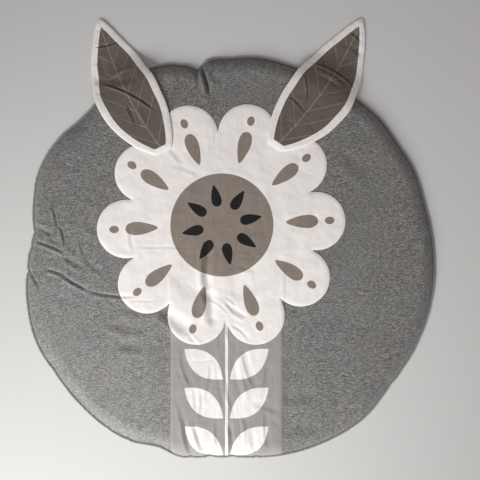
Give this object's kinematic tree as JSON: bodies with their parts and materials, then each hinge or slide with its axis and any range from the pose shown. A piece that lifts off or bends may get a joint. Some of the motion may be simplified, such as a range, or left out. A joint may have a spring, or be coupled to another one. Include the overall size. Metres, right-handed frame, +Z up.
{
  "type": "padded play mat",
  "caption": "Round padded cotton play mat lying flat, with an appliqued daisy, a stem panel down to the rim and padded leaf flaps that reach over the rim to the floor.",
  "frame": {"origin": "centre of the round mat's underside, on the floor", "axes": "+Z up, +Y towards the edge that the leaf flaps cross, +X to the right seen from above"},
  "size_m": [0.9558, 1.027, 0.0292],
  "materials": {
    "jersey": "melange knitted jersey",
    "back_cotton": "plain woven cotton",
    "white_cotton": "plain woven cotton, printed",
    "grey_cotton": "plain woven cotton, printed",
    "leaf_cotton": "plain woven cotton, printed"
  },
  "bodies": {
    "root": {"mat_pad": "jersey", "back_panel": "back_cotton", "daisy_panel": "white_cotton", "stem_panel": "grey_cotton", "leaf_flap_left": "leaf_cotton", "leaf_flap_right": "leaf_cotton"}
  },
  "joints": []
}
